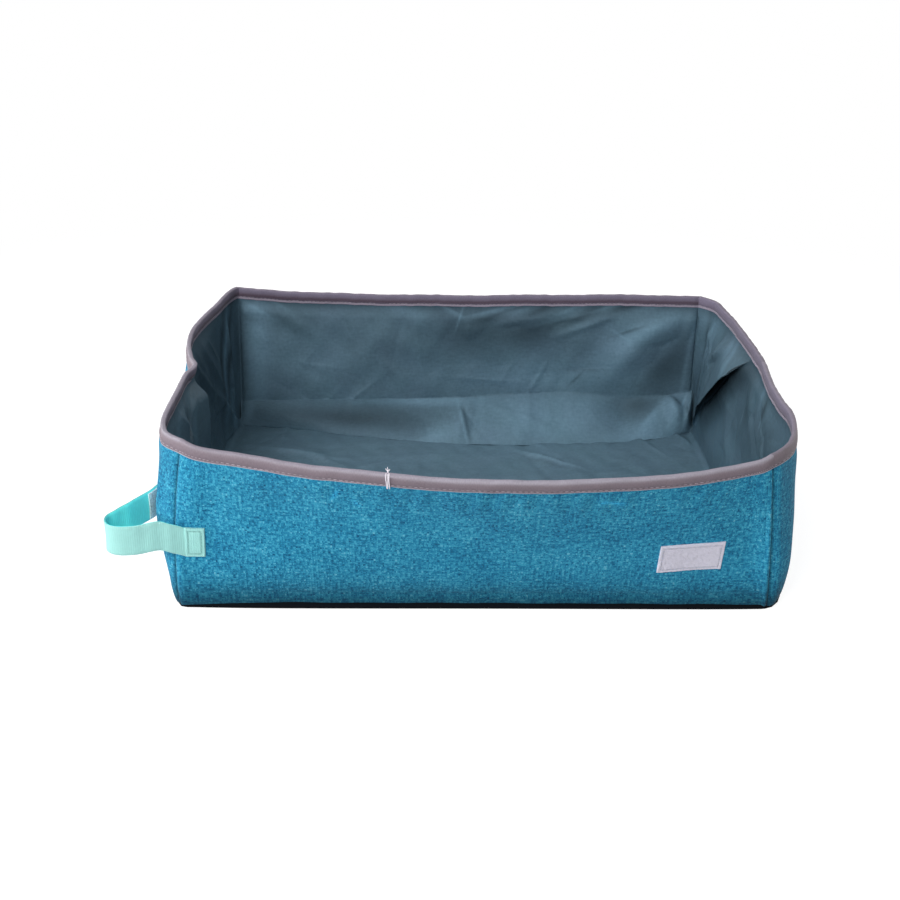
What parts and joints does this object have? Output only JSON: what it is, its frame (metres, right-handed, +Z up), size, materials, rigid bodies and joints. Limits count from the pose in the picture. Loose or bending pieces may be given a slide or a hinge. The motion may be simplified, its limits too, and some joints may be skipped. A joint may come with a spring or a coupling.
{
  "type": "foldable litter box",
  "caption": "Soft fabric litter tray with foam-stiffened walls, gusseted folding ends, bound rim and a strap that holds it shut when folded.",
  "frame": {"origin": "centre of the flat underside", "axes": "+X to the right along the length, -Y to the front with the strap and patch, +Z up"},
  "size_m": [0.4555, 0.3493, 0.1209],
  "materials": {
    "shell_cloth": "heather blue plain-weave cloth",
    "dark_cloth": "plain dark cloth",
    "foam_sheet": "closed-cell foam sheet, off-white",
    "coated_liner": "grey coated cloth, satin",
    "binding_tape": "mauve-grey woven tape",
    "mint_webbing": "mint woven webbing",
    "hook_face": "pale hook tape",
    "loop_pile": "pale looped pile",
    "pale_thread": "pale sewing thread"
  },
  "bodies": {
    "base": {"base_shell": "dark_cloth", "base_foam": "foam_sheet", "base_liner": "coated_liner", "front_skirt": "shell_cloth", "back_skirt": "shell_cloth"},
    "front_wall": {"front_shell": "shell_cloth", "front_foam": "foam_sheet", "front_liner": "coated_liner", "front_binding": "binding_tape", "binding_join_thread": "pale_thread", "strap_sewn_end": "mint_webbing", "strap_stitching": "pale_thread", "loop_patch": "loop_pile", "patch_stitching": "pale_thread"},
    "back_wall": {"back_shell": "shell_cloth", "back_foam": "foam_sheet", "back_liner": "coated_liner", "back_binding": "binding_tape"},
    "left_end": {"left_end_shell": "shell_cloth", "left_end_foam": "foam_sheet", "left_end_liner": "coated_liner", "left_end_binding": "binding_tape"},
    "right_end": {"right_end_shell": "shell_cloth", "right_end_foam": "foam_sheet", "right_end_liner": "coated_liner", "right_end_binding": "binding_tape"},
    "front_left_gusset": {"front_left_gusset_shell": "shell_cloth", "front_left_gusset_liner": "coated_liner", "front_left_gusset_binding": "binding_tape"},
    "back_left_gusset": {"back_left_gusset_shell": "shell_cloth", "back_left_gusset_liner": "coated_liner", "back_left_gusset_binding": "binding_tape"},
    "front_right_gusset": {"front_right_gusset_shell": "shell_cloth", "front_right_gusset_liner": "coated_liner", "front_right_gusset_binding": "binding_tape"},
    "back_right_gusset": {"back_right_gusset_shell": "shell_cloth", "back_right_gusset_liner": "coated_liner", "back_right_gusset_binding": "binding_tape"},
    "strap": {"strap_loop": "mint_webbing", "hook_tape": "hook_face"}
  },
  "joints": [
    {"name": "front_wall_fold", "type": "hinge", "parent": "base", "child": "front_wall", "pos_m": [0, -0.146, 0.012], "axis": [-1, 0, 0], "range_deg": [0, 90]},
    {"name": "back_wall_fold", "type": "hinge", "parent": "base", "child": "back_wall", "pos_m": [0, 0.146, 0.012], "axis": [1, 0, 0], "range_deg": [0, 90]},
    {"name": "left_end_fold", "type": "hinge", "parent": "base", "child": "left_end", "pos_m": [-0.196, 0, 0.00445], "axis": [0, 1, 0], "range_deg": [0, 93]},
    {"name": "right_end_fold", "type": "hinge", "parent": "base", "child": "right_end", "pos_m": [0.196, 0, 0.00445], "axis": [0, -1, 0], "range_deg": [0, 93]},
    {"name": "front_left_gusset_fold", "type": "hinge", "parent": "left_end", "child": "front_left_gusset", "pos_m": [-0.2003, -0.146, 0.00445], "axis": [0.0611, -0.7058, -0.7058], "range_deg": [0, 183.6], "deforming": ["front_left_gusset_shell", "front_left_gusset_liner", "front_left_gusset_binding"]},
    {"name": "back_left_gusset_fold", "type": "hinge", "parent": "left_end", "child": "back_left_gusset", "pos_m": [-0.2003, 0.146, 0.00445], "axis": [-0.0611, -0.7058, 0.7058], "range_deg": [0, 183.6], "deforming": ["back_left_gusset_shell", "back_left_gusset_liner", "back_left_gusset_binding"]},
    {"name": "front_right_gusset_fold", "type": "hinge", "parent": "right_end", "child": "front_right_gusset", "pos_m": [0.2003, -0.146, 0.00445], "axis": [0.0611, 0.7058, 0.7058], "range_deg": [0, 183.6], "deforming": ["front_right_gusset_shell", "front_right_gusset_liner", "front_right_gusset_binding"]},
    {"name": "back_right_gusset_fold", "type": "hinge", "parent": "right_end", "child": "back_right_gusset", "pos_m": [0.2003, 0.146, 0.00445], "axis": [-0.0611, 0.7058, -0.7058], "range_deg": [0, 183.6], "deforming": ["back_right_gusset_shell", "back_right_gusset_liner", "back_right_gusset_binding"]},
    {"name": "strap_swing", "type": "hinge", "parent": "front_wall", "child": "strap", "pos_m": [-0.1913, -0.15558, 0.05], "axis": [0, -0.0912, 0.9958], "range_deg": [0, 150]}
  ],
  "couplings": [
    {"joint": "back_wall_fold", "follows": "front_wall_fold", "ratio": 1},
    {"joint": "left_end_fold", "follows": "front_wall_fold", "ratio": 1.0333},
    {"joint": "right_end_fold", "follows": "front_wall_fold", "ratio": 1.0333},
    {"joint": "front_left_gusset_fold", "follows": "front_wall_fold", "ratio": 2.04},
    {"joint": "back_left_gusset_fold", "follows": "front_wall_fold", "ratio": 2.04},
    {"joint": "front_right_gusset_fold", "follows": "front_wall_fold", "ratio": 2.04},
    {"joint": "back_right_gusset_fold", "follows": "front_wall_fold", "ratio": 2.04}
  ]
}
